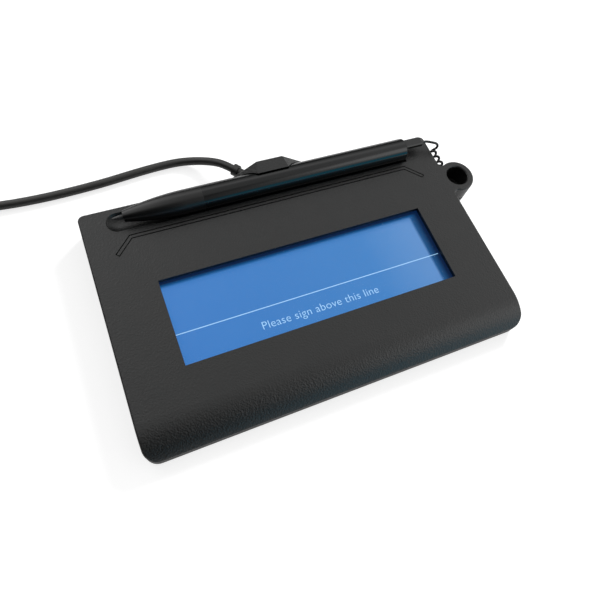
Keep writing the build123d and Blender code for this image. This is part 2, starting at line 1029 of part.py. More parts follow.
def coil_edges():
    """Turns that spiral in and out by layers, and climb a layer where the spiral reverses."""
    step = coil_pitch / 2
    radius = coil_radius()
    level = coil_base()
    angle = 90
    stations = []

    def add(climb=0):
        turn = math.radians(angle)
        across_way, along_way = math.cos(turn), math.sin(turn)
        place = Vector(coil_x + radius * across_way, coil_y + radius * along_way, level)
        stations.append((place, Vector(-along_way, across_way, climb).normalized()))

    add()
    for layer, halves in enumerate(coil_half_turns):
        side = -1 if layer % 2 == 0 else 1
        for _ in range(halves):
            angle += 180
            radius += side * step
            add()
        if layer < len(coil_half_turns) - 1:
            angle += 90
            radius += side * step / 2
            level += coil_pitch / 2
            add(climb_share * coil_pitch / (math.pi * radius))
            angle += 90
            radius -= side * step / 2
            level += coil_pitch / 2
            add()
    angle += 90
    radius += step / 2
    add()
    first, way = stations[0]
    last, last_way = stations[-1]
    return [
        Edge.make_line(first - way * lead_in, first),
        *wound(stations),
        Edge.make_line(last, last + last_way * lead_in),
    ]


def rounded_path(points, name):
    """Straight runs joined by arcs that are as large as the shorter run beside each corner allows."""
    corners = [Vector(*p) for p in points]
    radii = []
    for a, b, c in zip(corners, corners[1:], corners[2:]):
        before, after = b - a, c - b
        turn = math.radians(before.get_angle(after))
        radii.append(bend_share * min(before.length, after.length) / math.tan(turn / 2))
    print(name, "bend radii", [round(r, 1) for r in radii])
    return FilletPolyline(*corners, radius=radii)


def usb_cable():
    """Straight out of the gland's nose, and over the desk to the coil."""
    points = [tuple(gland_way(along).position) for along in (gland_nose, gland_nose + lead_out)]
    points += [(x, rear_y + behind, z) for x, behind, z in route]
    path = rounded_path(points + [tuple(coil_edges()[0] @ 0)], "usb_cable")
    return tube(path.edges(), cable_radius)


def tail_route():
    """From the coil's last turn down to the plug, which lies on the desk beside the coil."""
    end = coil_edges()[-1] @ 1
    return [(end.X - out, end.Y - forward, end.Z - down) for out, forward, down in tail_steps]


def usb_tail():
    path = rounded_path(tail_route(), "usb_tail")
    return tube(path.edges(), cable_radius)


def cable_tie():
    """A flat band round all the turns, on the side next to the pad."""
    outer = coil_radius() + coil_pitch / 4 + cable_radius + tie_gap
    inner = coil_radius() - max(coil_half_turns) * coil_pitch / 2 - cable_radius - tie_gap
    layers = len(coil_half_turns)
    height = 2 * cable_radius + (layers - 1) * coil_pitch + 2 * tie_gap
    middle = coil_x + (outer + inner) / 2
    band = block(
        middle, coil_y, 0, outer - inner + 2 * tie_thick, tie_width, height + 2 * tie_thick
    )
    return band - block(middle, coil_y, tie_thick, outer - inner, tie_width, height)


def plug_front_y():
    """Where the plug's neck meets the lead."""
    return tail_route()[-1][1]


def plug_x():
    return tail_route()[-1][0]


def plug_body():
    """The moulded grip and its tapered neck."""
    back = plug_front_y() - plug_neck_length
    z = plug_body_height / 2
    grip = block(
        plug_x(), back - plug_body_length / 2, 0, plug_body_width, plug_body_length, plug_body_height
    )
    grip = fillet(grip.edges().filter_by(Axis.Y), plug_round)
    neck = Pos(plug_x(), back, z) * Rot(-90, 0, 0) * Cone(
        plug_neck_radius,
        cable_radius + fit_gap,
        plug_neck_length,
        align=(Align.CENTER, Align.CENTER, Align.MIN),
    )
    return grip + neck


def plug_end_y():
    return plug_front_y() - plug_neck_length - plug_body_length


def plug_shell():
    """The metal shell, open at its end, with two windows above."""
    z = plug_body_height / 2 - shell_height / 2
    y = plug_end_y() - shell_length / 2
    shell = block(plug_x(), y, z, shell_width, shell_length, shell_height)
    shell = shell - block(
        plug_x(),
        y,
        z + shell_wall,
        shell_width - 2 * shell_wall,
        shell_length,
        shell_height - 2 * shell_wall,
    )
    for sign in (-1, 1):
        shell = shell - block(
            plug_x() + sign * shell_hole,
            y + shell_hole_y,
            z + shell_height - shell_wall,
            shell_hole,
            shell_hole,
            shell_wall,
        )
    return shell


def tongue_z():
    return plug_body_height / 2 - shell_height / 2 + shell_wall + fit_gap


def plug_tongue():
    length = shell_length - tongue_short
    return block(
        plug_x(),
        plug_end_y() - length / 2,
        tongue_z(),
        shell_width - 2 * shell_wall - 2 * fit_gap,
        length,
        tongue_height,
    )


def plug_contacts():
    made = []
    for index in range(wires):
        x = plug_x() + (index - (wires - 1) / 2) * contact_pitch
        y = plug_end_y() - shell_length + tongue_short + contact_length / 2 + contact_width / 2
        made.append(
            block(x, y, tongue_z() + tongue_height, contact_width, contact_length, contact_thick)
        )
    return group(made)


save("top_cover", top_cover())
save("bottom_cover", bottom_cover())
save("rubber_feet", feet())
save("case_screws", case_screws())
save("window_tape", window_tape())
save("clear_lens", window_plate(window_margin, cell_top, lens_thick))
save("display_cell", window_plate(cell_margin, guide_top, cell_thick))
save("display_frame", display_frame())
save("light_guide", light_guide())
save("led_strip", led_strip())
save("reflector_sheet", window_plate(guide_margin, frame_bottom, reflector_thick))
save("sensor_board", window_plate(sensor_margin, sensor_bottom, sensor_thick))
save("shield_sheet", window_plate(shield_margin, shield_bottom, shield_thick))
save("controller_board", controller_board())
save("board_screws", board_screws())
save("main_chip", block(chip_x, board_y, board_top, chip_side, chip_side, chip_thick))
save(
    "crystal",
    block(crystal_x, board_y, board_top, crystal_width, crystal_length, crystal_height),
)
save("display_connector", board_plug(display_plug_x, display_plug_width))
save("sensor_connector", board_plug(sensor_plug_x, sensor_plug_width))
save("display_ribbon", display_ribbon())
save("sensor_ribbon", sensor_ribbon())
save("usb_header", usb_header())
save("inner_wires", inner_wires())
save("cable_gland", cable_gland())
save("pen_nib", pen_nib())
save("pen_nose", pen_nose())
save("pen_barrel", pen_barrel())
save("pen_tail_cap", pen_tail_cap())
save("ferrite_core", ferrite_core())
save("sensing_coil", sensing_coil())
save("tip_switch", tip_switch())
save("pen_circuit", pen_circuit())
least_gap(tether_edges(), 2 * tether_radius, "tether_cord")
save("tether_cord", tube(tether_edges(), tether_radius))
save("tether_anchor", tether_anchor())
save("usb_cable", usb_cable())
least_gap(coil_edges(), 2 * cable_radius, "usb_coil")
save("usb_coil", tube(coil_edges(), cable_radius))
save("usb_tail", usb_tail())
save("cable_tie", cable_tie())
save("usb_plug_body", plug_body())
save("usb_plug_shell", plug_shell())
save("usb_plug_tongue", plug_tongue())
save("usb_plug_contacts", plug_contacts())
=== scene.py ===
"""Looks of the signature pad: materials, cords, the lit display and the photograph's view."""

import json
import math

import bmesh
import bpy
from mathutils import Euler, Matrix, Vector

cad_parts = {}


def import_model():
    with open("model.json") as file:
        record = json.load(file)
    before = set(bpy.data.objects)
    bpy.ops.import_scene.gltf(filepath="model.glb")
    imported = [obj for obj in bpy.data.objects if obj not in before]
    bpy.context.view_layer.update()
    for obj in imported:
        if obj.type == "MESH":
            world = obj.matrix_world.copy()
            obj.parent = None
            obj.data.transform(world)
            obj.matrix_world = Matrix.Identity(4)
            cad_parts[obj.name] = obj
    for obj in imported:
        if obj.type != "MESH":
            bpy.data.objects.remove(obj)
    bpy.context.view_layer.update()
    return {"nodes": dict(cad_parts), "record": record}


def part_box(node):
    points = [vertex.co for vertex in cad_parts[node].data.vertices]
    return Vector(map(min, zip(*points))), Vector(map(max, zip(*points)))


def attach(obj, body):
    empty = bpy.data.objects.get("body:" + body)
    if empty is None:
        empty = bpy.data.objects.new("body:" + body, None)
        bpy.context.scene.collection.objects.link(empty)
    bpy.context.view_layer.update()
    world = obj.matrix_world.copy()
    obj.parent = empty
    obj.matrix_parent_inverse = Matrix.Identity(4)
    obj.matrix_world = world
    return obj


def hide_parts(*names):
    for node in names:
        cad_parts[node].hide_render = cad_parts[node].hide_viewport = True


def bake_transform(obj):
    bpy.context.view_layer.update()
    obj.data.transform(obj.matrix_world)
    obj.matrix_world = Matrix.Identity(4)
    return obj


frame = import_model()
nodes = frame["nodes"]
scene = bpy.context.scene

MM = 0.001
CASE_MIDDLE_X = -6.7


def place(x, y, z):
    """A point given about the case's middle in millimetres, in the row frame in metres."""
    return Vector(((x + CASE_MIDDLE_X) * MM, y * MM, z * MM))


def added(name, data):
    """A new object of this data, in the scene."""
    obj = bpy.data.objects.new(name, data)
    scene.collection.objects.link(obj)
    return obj


def evaluated_mesh(obj):
    """The mesh that a curve or a text makes as it stands."""
    bpy.context.view_layer.update()
    shown = obj.evaluated_get(bpy.context.evaluated_depsgraph_get())
    return bpy.data.meshes.new_from_object(shown)


# Camera, fitted to the photograph: millimetres and degrees

CAMERA_AT = (-59.78, -73.59, 182.9)
CAMERA_TURN = (24.0778, -8.0529, -22.0068)
SENSOR_WIDTH = 36.0
FOCAL_LENGTH = 29.88
NEAREST_SEEN = 10.0


def make_camera():
    data = bpy.data.cameras.new("camera")
    data.sensor_width = SENSOR_WIDTH
    data.lens = FOCAL_LENGTH
    data.clip_start = NEAREST_SEEN * MM
    camera = added("camera", data)
    turn = Euler([math.radians(angle) for angle in CAMERA_TURN]).to_matrix().to_4x4()
    camera.matrix_world = Matrix.Translation(place(*CAMERA_AT)) @ turn
    scene.camera = camera


make_camera()


# Cords, in millimetres about the case's middle

SPLINE_STEPS = 5
ROUND_STEPS = 5

CABLE = 3.5
COIL_X, COIL_Y = -143.0, 44.0
COIL_PITCH = 4.0
COIL_RADIUS = 27.0
COIL_LEVEL = 2.45
COIL_START = 90.0
HALF_TURNS = (6, 6, 5, 4)
STEPS = 12

lead_route = [
    (-11.213, 57.693, 6.5),
    (-14.106, 61.14, 6.5),
    (-18.0, 64.5, 5.6),
    (-23.5, 68.4, 3.4),
    (-30.0, 70.8, 2.1),
    (-36.5, 71.4, 1.77),
    (-48.0, 70.8, 1.77),
    (-68.0, 68.6, 1.77),
    (-94.0, 67.9, 1.77),
    (-116.0, 70.0, 2.0),
    (-130.5, 71.0, 2.45),
    (-139.4, 71.0, 2.45),
]
tail_route = [
    (-169.0, 40.4, 14.45),
    (-169.0, 29.9, 14.45),
    (-170.0, 18.4, 9.45),
    (-170.6, 6.9, 4.0),
    (-170.6, -3.6, 4.0),
]


def eased(t):
    """From 0 to 1 with a soft start and a soft end."""
    return (1 - math.cos(math.pi * t)) / 2


def coil_point(radius, degrees, level):
    turn = math.radians(degrees)
    return COIL_X + radius * math.cos(turn), COIL_Y + radius * math.sin(turn), level


def coil_points():
    """The coil's turns: they spiral in and out by layers and climb where they reverse."""
    radius, level, angle = COIL_RADIUS, COIL_LEVEL, COIL_START
    # The spline cuts inside its points, so they stand a little outside the turn.
    cut = math.cos(math.radians(90 / STEPS))
    points = []

    def half(to_radius, bulge, climb):
        nonlocal radius, level, angle
        for i in range(STEPS):
            t = i / STEPS
            r = radius + (to_radius - radius) * eased(t) + bulge * math.sin(math.pi * t)
            points.append(coil_point(r / cut, angle + 180 * t, level + climb * eased(t)))
        radius = to_radius
        level += climb
        angle += 180

    for layer, halves in enumerate(HALF_TURNS):
        side = -1 if layer % 2 == 0 else 1
        for _ in range(halves):
            half(radius + side * COIL_PITCH / 2, 0, 0)
        if layer < len(HALF_TURNS) - 1:
            half(radius, side * COIL_PITCH / 4, COIL_PITCH)
    # A last quarter turn, on the turn itself, leads into the tail.
    for i in range(STEPS // 2 + 1):
        t = i / (STEPS // 2)
        points.append(coil_point(radius + COIL_PITCH / 4 * eased(t), angle + 90 * t, level))
    return points


def spline_curve(name, points, diameter):
    """A smooth curve with the points as its control points, and the cord's round section."""
    data = bpy.data.curves.new(name, "CURVE")
    data.dimensions = "3D"
    spline = data.splines.new("NURBS")
    spline.points.add(len(points) - 1)
    for control, point in zip(spline.points, points):
        control.co = (*place(*point), 1)
    spline.order_u = 3
    spline.use_endpoint_u = True
    spline.resolution_u = SPLINE_STEPS
    data.bevel_depth = diameter / 2 * MM
    data.bevel_resolution = ROUND_STEPS
    data.use_fill_caps = True
    return added(name, data)


def mesh_tube(curve, name):
    """The curve's tube as a mesh, and the points of its own line."""
    tube = added(name, evaluated_mesh(curve))
    curve.data.bevel_depth = 0
    line = evaluated_mesh(curve)
    path = [tuple(vertex.co) for vertex in line.vertices]
    bpy.data.meshes.remove(line)
    bpy.data.objects.remove(curve)
    return tube, path


lead, lead_path = mesh_tube(
    spline_curve("lead_line", lead_route + coil_points() + tail_route, CABLE), "usb_lead"
)
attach(lead, "pad")
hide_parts("usb_cable", "usb_coil", "usb_tail")

TETHER = 1.1
LUG_END = (72.5, 42.3, 15.8)
LOOP_TOP, LOOP_TOP_WAY = (78.2, 40.6, 15.7), (1.0, -0.3, -0.15)
LOOP_SIDE, LOOP_SIDE_WAY = (80.4, 39.6, 13.7), (0.0, -0.15, -1.0)
BEND_STEPS = 8
BEND_REACH = 1.15
CURL_AT = (79.2, 40.3, 11.0)
CURL_RADIUS = 0.8
CURL_PITCH = 3.1
CURL_QUARTERS = 11
QUARTER_STEPS = 4
TETHER_END = (78.1, 33.6, 7.8)


def bend(start, start_way, end, end_way):
    """Points of a smooth bend from one place and direction to the next, without its end."""
    start, end = Vector(start), Vector(end)
    reach = (end - start).length * BEND_REACH
    leave = Vector(start_way).normalized() * reach
    arrive = Vector(end_way).normalized() * reach
    points = []
    for i in range(BEND_STEPS):
        t = i / BEND_STEPS
        # A cubic's shares of the two places and the two directions
        first, second = 2 * t**3 - 3 * t**2 + 1, 3 * t**2 - 2 * t**3
        out_of, into = t**3 - 2 * t**2 + t, t**3 - t**2
        points.append(tuple(start * first + leave * out_of + end * second + arrive * into))
    return points


def tether_points():
    """Straight out of the lug, one wide loop, curls beside the case's edge, and into the plug."""

    def right_of(point):
        return (point[0] + TETHER, point[1], point[2])

    x, y, z = CURL_AT
    curl_start = (x, y, z - CURL_RADIUS)
    # How far a curl goes sideways and along its axis in a quarter turn
    around, along = CURL_RADIUS * math.pi / 2, CURL_PITCH / 4
    points = [LUG_END]
    points += bend(right_of(LUG_END), (1, 0, 0), LOOP_TOP, LOOP_TOP_WAY)
    points += bend(LOOP_TOP, LOOP_TOP_WAY, LOOP_SIDE, LOOP_SIDE_WAY)
    points += bend(LOOP_SIDE, LOOP_SIDE_WAY, curl_start, (-around, -along, 0))
    radius = CURL_RADIUS / math.cos(math.radians(45 / QUARTER_STEPS))
    for i in range(CURL_QUARTERS * QUARTER_STEPS + 1):
        quarters = i / QUARTER_STEPS
        turn = math.radians(90 * quarters)
        sideways, upward = -radius * math.sin(turn), -radius * math.cos(turn)
        points.append((x + sideways, y - along * quarters, z + upward))
    points += bend(points[-1], (0, -along, -around), right_of(TETHER_END), (-1, 0, 0))[1:]
    points += [right_of(TETHER_END), TETHER_END]
    return points


tether, tether_path = mesh_tube(spline_curve("tether_line", tether_points(), TETHER), "tether")
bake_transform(tether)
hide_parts("tether_cord")


# Materials

# The mix node's sockets for two colours and their blend
COLOUR_A, COLOUR_B, COLOUR_OUT = 6, 7, 2
# Most of a noise texture's values lie in this span.
NOISE = (0.3, 0.7)


class Shading:
    """Short ways to make and join the nodes of a material or of the world."""

    def __init__(self, owner):
        owner.use_nodes = True
        self.tree = owner.node_tree

    def node(self, kind, **values):
        made = self.tree.nodes.new(kind)
        for key, value in values.items():
            setattr(made, key, value)
        return made

    def feed(self, value, socket):
        """Give an input another node's output, a colour of three parts or a number."""
        if isinstance(value, bpy.types.NodeSocket):
            self.tree.links.new(value, socket)
        elif isinstance(value, tuple) and len(value) < len(socket.default_value):
            socket.default_value = (*value, 1)
        else:
            socket.default_value = value

    def ranged(self, source, given, wanted, **values):
        """The source's given span, stretched to the wanted one and cut off beyond it."""
        made = self.node("ShaderNodeMapRange", **values)
        self.feed(source, made.inputs["Value"])
        for side, low_or_high in enumerate(("Min", "Max")):
            self.feed(given[side], made.inputs["From " + low_or_high])
            self.feed(wanted[side], made.inputs["To " + low_or_high])
        return made.outputs["Result"]

    def maths(self, operation, *values):
        made = self.node("ShaderNodeMath", operation=operation)
        for value, socket in zip(values, made.inputs):
            self.feed(value, socket)
        return made.outputs["Value"]

    def mix(self, factor, first, second):
        """The first colour, turned to the second by a texture."""
        made = self.node("ShaderNodeMix", data_type="RGBA")
        self.feed(factor, made.inputs[0])
        self.feed(first, made.inputs[COLOUR_A])
        self.feed(second, made.inputs[COLOUR_B])
        return made.outputs[COLOUR_OUT]


class Paint(Shading):
    """A procedural material on one principled shader, in the piece's own coordinates."""

    def __init__(self, name, colour, roughness, metallic=0.0):
        self.material = bpy.data.materials.new(name)
        self.material.diffuse_color = (*colour, 1)
        super().__init__(self.material)
        self.inputs = self.tree.nodes["Principled BSDF"].inputs
        self.feed(colour, self.inputs["Base Color"])
        self.feed(roughness, self.inputs["Roughness"])
        self.feed(metallic, self.inputs["Metallic"])
        self.colour = colour
        self.coordinates = self.node("ShaderNodeTexCoord").outputs["Object"]
        self.height = None

    def shiny(self, level):
        self.feed(level, self.inputs["Specular IOR Level"])

    def emit(self, colour, strength):
        self.feed(colour, self.inputs["Emission Color"])
        self.feed(strength, self.inputs["Emission Strength"])

    def noise(self, size_mm, detail, stretch=None):
        """Cloudy noise whose features are about this size, scaled along each axis by stretch."""
        made = self.node("ShaderNodeTexNoise")
        self.feed(1.0 / (size_mm * MM), made.inputs["Scale"])
        self.feed(detail, made.inputs["Detail"])
        where = self.coordinates
        if stretch:
            mapping = self.node("ShaderNodeMapping")
            self.feed(stretch, mapping.inputs["Scale"])
            self.feed(where, mapping.inputs["Vector"])
            where = mapping.outputs["Vector"]
        self.feed(where, made.inputs["Vector"])
        return made.outputs["Fac"]

    def cells(self, size_mm):
        """Rounded cells of about this size, as in moulded grain."""
        made = self.node("ShaderNodeTexVoronoi", feature="SMOOTH_F1")
        self.feed(1.0 / (size_mm * MM), made.inputs["Scale"])
        self.feed(self.coordinates, made.inputs["Vector"])
        return made.outputs["Distance"]

    def vary_colour(self, factor, other):
        """Blend the base colour towards another by a texture."""
        self.feed(self.mix(factor, self.colour, other), self.inputs["Base Color"])

    def vary_roughness(self, source, given, wanted):
        self.feed(self.ranged(source, given, wanted), self.inputs["Roughness"])

    def bump(self, height, depth_mm, strength):
        """Add relief of this depth on top of the relief so far."""
        made = self.node("ShaderNodeBump")
        self.feed(strength, made.inputs["Strength"])
        self.feed(depth_mm * MM, made.inputs["Distance"])
        self.feed(height, made.inputs["Height"])
        if self.height is not None:
            self.feed(self.height, made.inputs["Normal"])
        self.height = made.outputs["Normal"]
        self.feed(self.height, self.inputs["Normal"])


def case_plastic():
    """Black moulded plastic with a fine leathery grain."""
    paint = Paint("case_grain", (0.0075, 0.008, 0.008), 0.44)
    wide = paint.noise(size_mm=9.0, detail=3.0)
    fine = paint.noise(size_mm=0.35, detail=3.0)
    paint.vary_colour(paint.ranged(wide, NOISE, (0.0, 0.5)), (0.011, 0.011, 0.0107))
    paint.vary_roughness(fine, NOISE, (0.38, 0.50))
    paint.bump(paint.cells(size_mm=0.62), depth_mm=0.12, strength=0.9)
    paint.bump(paint.cells(size_mm=0.45), depth_mm=0.05, strength=0.5)
    paint.bump(fine, depth_mm=0.02, strength=0.4)
    return paint.material


def plain_plastic(name, colour, roughness, grain_mm=0.3, depth_mm=0.01):
    """Moulded plastic with faint grain and slightly uneven gloss."""
    paint = Paint(name, colour, roughness)
    fine = paint.noise(grain_mm, detail=4.0)
    wide = paint.noise(size_mm=12.0, detail=2.0)
    lighter = tuple(min(1.0, c * 1.25 + 0.004) for c in colour)
    paint.vary_colour(paint.ranged(wide, NOISE, (0.0, 0.6)), lighter)
    paint.vary_roughness(fine, (0.0, 1.0), (roughness * 0.85, min(1.0, roughness * 1.2)))
    paint.bump(fine, depth_mm, strength=0.5)
    return paint.material


def pen_plastic():
    """Polished black plastic of the pen."""
    paint = Paint("pen_gloss", (0.002, 0.0026, 0.0028), 0.2)
    paint.shiny(0.42)
    smear = paint.noise(size_mm=6.0, detail=4.0, stretch=(0.25, 1, 1))
    speck = paint.noise(size_mm=0.5, detail=3.0)
    paint.vary_roughness(smear, (0.3, 0.75), (0.16, 0.24))
    paint.vary_colour(paint.ranged(smear, (0.4, 0.8), (0.0, 0.5)), (0.004, 0.0045, 0.0045))
    paint.bump(speck, depth_mm=0.003, strength=0.4)
    return paint.material


def cable_rubber(name, colour):
    """Smooth extruded jacket with a faint even grain."""
    paint = Paint(name, colour, 0.42)
    fine = paint.noise(size_mm=0.4, detail=4.0)
    wide = paint.noise(size_mm=14.0, detail=3.0)
    lighter = tuple(c * 1.5 + 0.004 for c in colour)
    paint.vary_colour(paint.ranged(wide, NOISE, (0.0, 0.7)), lighter)
    paint.vary_roughness(fine, (0.0, 1.0), (0.36, 0.5))
    paint.bump(fine, depth_mm=0.015, strength=0.5)
    return paint.material


# The display's glow and the haze of its film, each at the left and at the right; the haze's
# lightening to the right is painted light
FIELD_BLUE = ((0.004, 0.135, 0.44), (0.004, 0.13, 0.40))
FIELD_HAZE = ((0.034, 0.062, 0.13), (0.03, 0.08, 0.15))
CLOUD_BLUE = (0.02, 0.18, 0.50)
# Painted light: the haze is made lighter towards the right end.
FAR_RIGHT_PAINTED_LIGHT = (0.11, 0.15, 0.20)
BETWEEN_PIXELS = (0.006, 0.06, 0.2)
# Painted shadow of the window's walls: the dimmed blue and the haze there, and the darkest blue
# by the walls
WALL_SHADE_BLUE, WALL_SHADE_HAZE = (0.001, 0.07, 0.225), (0.002, 0.003, 0.005)
WALL_SHADOW_DARK_BLUE = (0.0008, 0.011, 0.05)
PIXEL_MM = 0.36
# Where the field's colours start and end along x, and where the painted light on the right end's
# haze does
FIELD_SPAN = (place(-55.3, 0, 0).x, place(56.7, 0, 0).x)
PAINTED_LIGHT_SPAN = (place(26.7, 0, 0).x, place(56.7, 0, 0).x)
# Painted shadow of the window's right and rear walls: near them the haze and the gloss stop, and
# then the blue fades to a dark painted band.
WALL_SHADE_FROM = place(51.9, 10.6, 0)
WALL_SHADE_DEEPER = place(53.2, 11.6, 0)
WALL_SHADE_DARKEST = place(56.2, 12.5, 0)


def display_glow():
    """The lit display: a deep blue field under a glossy film, with a fine pixel grid, painted
    shadows of the window's right and rear walls, and painted light towards the right.
    """
    paint = Paint("display_blue", (0.08, 0.11, 0.18), 0.16)
    split = paint.node("ShaderNodeSeparateXYZ")
    paint.feed(paint.coordinates, split.inputs["Vector"])
    x, y = split.outputs["X"], split.outputs["Y"]

    def beyond(start, end):
        """How far x and y have each gone from one place to the next, from 0 to 1."""
        to_right = paint.ranged(x, (start.x, end.x), (0.0, 1.0))
        to_rear = paint.ranged(y, (start.y, end.y), (0.0, 1.0))
        return to_right, to_rear

    def wave(source):
        return paint.maths("SINE", paint.maths("MULTIPLY", source, 2 * math.pi / (PIXEL_MM * MM)))

    across = paint.ranged(x, FIELD_SPAN, (0.0, 1.0))
    painted_light_right = paint.ranged(x, PAINTED_LIGHT_SPAN, (0.0, 1.0))
    cloud = paint.ranged(paint.noise(size_mm=22.0, detail=2.0), (0.35, 0.65), (0.0, 0.12))
    grid = paint.ranged(paint.maths("MAXIMUM", wave(x), wave(y)), (0.8, 1.0), (0.0, 0.10))
    blue = paint.mix(across, *FIELD_BLUE)
    blue = paint.mix(cloud, blue, CLOUD_BLUE)
    blue = paint.mix(grid, blue, BETWEEN_PIXELS)
    # Painted light: the haze lightens towards the right, and more at the right end.
    haze = paint.mix(across, *FIELD_HAZE)
    haze = paint.mix(painted_light_right, haze, FAR_RIGHT_PAINTED_LIGHT)
    edges = beyond(WALL_SHADE_FROM, WALL_SHADE_DEEPER)
    # Painted shadow of the walls: the haze goes and the blue dims.
    for edge in edges:
        blue = paint.mix(edge, blue, WALL_SHADE_BLUE)
        haze = paint.mix(edge, haze, WALL_SHADE_HAZE)
    # Painted shadow: the blue fades to a dark band by the walls.
    for fade in beyond(WALL_SHADE_DEEPER, WALL_SHADE_DARKEST):
        blue = paint.mix(fade, blue, WALL_SHADOW_DARK_BLUE)
    # The gloss is taken away in the walls' painted shadow.
    paint.shiny(paint.ranged(paint.maths("MAXIMUM", *edges), (0.0, 1.0), (0.25, 0.02)))
    paint.feed(haze, paint.inputs["Base Color"])
    paint.emit(blue, 1.0)
    return paint.material


def display_ink():
    """Pale cyan that glows: the signing line and the words."""
    paint = Paint("display_ink", (0.2, 0.3, 0.4), 0.5)
    speck = paint.ranged(paint.noise(size_mm=0.3, detail=2.0), NOISE, (0.0, 0.4))
    paint.emit(paint.mix(speck, (0.22, 0.46, 0.72), (0.32, 0.58, 0.84)), 0.85)
    return paint.material


def lens_clear():
    """The clear lens, nearly all see-through, with fine scratches in its gloss."""
    paint = Paint("lens_clear", (0.55, 0.72, 0.9), 0.08)
    paint.feed(0.02, paint.inputs["Alpha"])
    paint.shiny(0.3)
    scratch = paint.noise(size_mm=2.0, detail=6.0, stretch=(1, 0.06, 1))
    paint.vary_roughness(scratch, (0.0, 1.0), (0.05, 0.16))
    paint.material.surface_render_method = "BLENDED"
    return paint.material


def metal(name, colour, roughness, brushed=None):
    """Plain or brushed metal."""
    paint = Paint(name, colour, roughness, metallic=1.0)
    lines = paint.noise(size_mm=0.6, detail=5.0, stretch=brushed)
    stain = paint.noise(size_mm=7.0, detail=3.0)
    darker = tuple(c * 0.8 for c in colour)
    paint.vary_colour(paint.ranged(stain, (0.35, 0.7), (0.0, 0.6)), darker)
    paint.vary_roughness(lines, (0.0, 1.0), (roughness * 0.75, roughness * 1.35))
    paint.bump(lines, depth_mm=0.006, strength=0.4)
    return paint.material


def board_green():
    """Green solder resist with faint tracks."""
    paint = Paint("board_green", (0.012, 0.09, 0.035), 0.35)
    tracks = paint.node("ShaderNodeTexBrick")
    paint.feed(220.0, tracks.inputs["Scale"])
    paint.feed(0.03, tracks.inputs["Mortar Size"])
    paint.feed(paint.coordinates, tracks.inputs["Vector"])
    paint.vary_colour(tracks.outputs["Fac"], (0.02, 0.14, 0.05))
    paint.bump(tracks.outputs["Fac"], depth_mm=0.03, strength=0.6)
    return paint.material


def woven(name, colour):
    """The tie's woven band."""
    paint = Paint(name, colour, 0.8)
    wave = paint.node("ShaderNodeTexWave", bands_direction="DIAGONAL")
    paint.feed(900.0, wave.inputs["Scale"])
    paint.feed(1.5, wave.inputs["Distortion"])
    paint.feed(paint.coordinates, wave.inputs["Vector"])
    paint.vary_colour(wave.outputs["Fac"], tuple(c * 2.2 + 0.01 for c in colour))
    paint.bump(wave.outputs["Fac"], depth_mm=0.12, strength=0.8)
    return paint.material


# One look for each of the record's material slots
looks = {
    "case": case_plastic(),
    "foot": plain_plastic("foot_rubber", (0.012, 0.012, 0.012), 0.75, 0.5, 0.03),
    "screw": metal("screw_zinc", (0.62, 0.62, 0.64), 0.32),
    "tape": plain_plastic("tape_black", (0.008, 0.008, 0.008), 0.6),
    "lens": lens_clear(),
    "cell": display_glow(),
    "display_frame": plain_plastic("frame_white", (0.7, 0.7, 0.68), 0.5),
    "guide": plain_plastic("guide_clear", (0.7, 0.78, 0.82), 0.15),
    "lamps": plain_plastic("lamps_white", (0.8, 0.8, 0.68), 0.3),
    "reflector": plain_plastic("reflector_white", (0.85, 0.85, 0.85), 0.2),
    "board": board_green(),
    "shield": metal("shield_aluminium", (0.75, 0.75, 0.76), 0.35, (0.1, 1, 1)),
    "chip": plain_plastic("chip_black", (0.02, 0.02, 0.02), 0.55),
    "can": metal("can_steel", (0.66, 0.66, 0.67), 0.28),
    "connector": plain_plastic("connector_ivory", (0.7, 0.66, 0.52), 0.4),
    "ribbon": plain_plastic("ribbon_amber", (0.45, 0.2, 0.03), 0.25),
    "wire": plain_plastic("wire_red", (0.35, 0.02, 0.015), 0.4),
    "gland": cable_rubber("gland_rubber", (0.016, 0.016, 0.016)),
    "nib": plain_plastic("nib_grey", (0.05, 0.05, 0.05), 0.35),
    "pen": pen_plastic(),
    "ferrite": plain_plastic("ferrite_grey", (0.05, 0.05, 0.052), 0.5),
    "winding": metal("winding_copper", (0.75, 0.35, 0.16), 0.3, (8, 1, 1)),
    "switch": plain_plastic("switch_black", (0.03, 0.03, 0.03), 0.45),
    "tether": cable_rubber("tether_black", (0.012, 0.012, 0.013)),
    "cable": cable_rubber("cable_jacket", (0.02, 0.02, 0.019)),
    "tie": woven("tie_woven", (0.015, 0.015, 0.016)),
    "plug": plain_plastic("plug_black", (0.016, 0.016, 0.016), 0.5, 0.4, 0.02),
    "shell": metal("shell_nickel", (0.72, 0.71, 0.69), 0.22, (1, 0.1, 1)),
    "tongue": plain_plastic("tongue_white", (0.75, 0.75, 0.72), 0.4),
    "contact": metal("contact_gold", (0.85, 0.6, 0.2), 0.25, (1, 0.1, 1)),
}


def dress(obj, material):
    obj.data.materials.clear()
    obj.data.materials.append(material)


for part in frame["record"]["subparts"]:
    dress(nodes[part["node"]], looks[part["material_slot"]])
# The pen's nose is a little duller than its polished barrel.
dress(nodes["pen_nose"], plain_plastic("nose_satin", (0.003, 0.003, 0.003), 0.3))
dress(lead, looks["cable"])
dress(tether, looks["tether"])


# Edges that turn by more than this many degrees stay sharp.
SHARP_TURN = 32
TETHER_SHARP_TURN = 60


def soften(obj, turn=SHARP_TURN):
    """Shade the rounded faces smoothly and keep the real edges."""
    mesh = obj.data
    mesh.polygons.foreach_set("use_smooth", [True] * len(mesh.polygons))
    mesh.set_sharp_from_angle(angle=math.radians(turn))


for obj in nodes.values():
    soften(obj)
soften(tether, TETHER_SHARP_TURN)


# Display, in millimetres

LENS_CORNER, LENS_BEVEL = 1.0, 0.12
LENS_GAP_BELOW, LENS_GAP_ABOVE = 0.04, 0.02
CORNER_STEPS = 6
